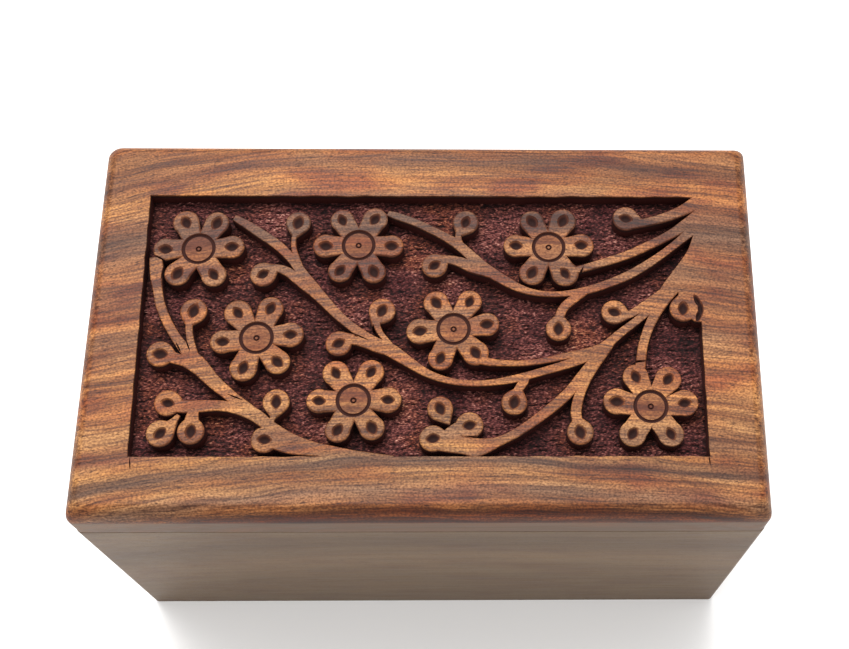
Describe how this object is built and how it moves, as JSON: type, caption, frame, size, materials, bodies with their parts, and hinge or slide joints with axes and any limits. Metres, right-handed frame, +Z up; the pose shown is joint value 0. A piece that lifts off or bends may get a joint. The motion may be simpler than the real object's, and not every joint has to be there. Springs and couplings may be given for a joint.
{
  "type": "jewelry box",
  "caption": "Small rectangular hardwood keepsake box with a hinged lid, its top carved in sunken relief with a trailing vine of flowers and buds, and a velvet-lined inside.",
  "frame": {"origin": "centre of the bottom face, on the surface that the box stands on", "axes": "+Z up, +X along the box's width to the right as seen from the front, -Y out of the front, with the hinges along the back edge"},
  "size_m": [0.127, 0.076, 0.076],
  "materials": {
    "lid_wood": "Indian rosewood, waxed satin, warm orange-brown with purple-brown streaks; the carved ground is stained dark maroon",
    "wall_wood": "Indian rosewood, waxed satin, brown with fine dark pores",
    "base_wood": "plain hardwood, sanded and oiled",
    "brass": "plain brass, slightly dulled",
    "velvet": "dark red short-pile velvet glued to card"
  },
  "bodies": {
    "case": {"front_board": "wall_wood", "back_board": "wall_wood", "left_end_board": "wall_wood", "right_end_board": "wall_wood", "base_board": "base_wood", "base_screws": "brass", "front_lining": "velvet", "back_lining": "velvet", "left_lining": "velvet", "right_lining": "velvet", "floor_pad": "velvet", "left_hinge_case_leaf": "brass", "right_hinge_case_leaf": "brass", "left_hinge_pin": "brass", "right_hinge_pin": "brass", "case_leaf_screws": "brass"},
    "lid": {"lid_board": "lid_wood", "lid_lining": "velvet", "left_hinge_lid_leaf": "brass", "right_hinge_lid_leaf": "brass", "lid_leaf_screws": "brass"}
  },
  "joints": [
    {"name": "lid_hinge", "type": "hinge", "parent": "case", "child": "lid", "pos_m": [0, 0.0358, 0.0654], "axis": [-1, 0, 0], "range_deg": [0, 100]}
  ]
}
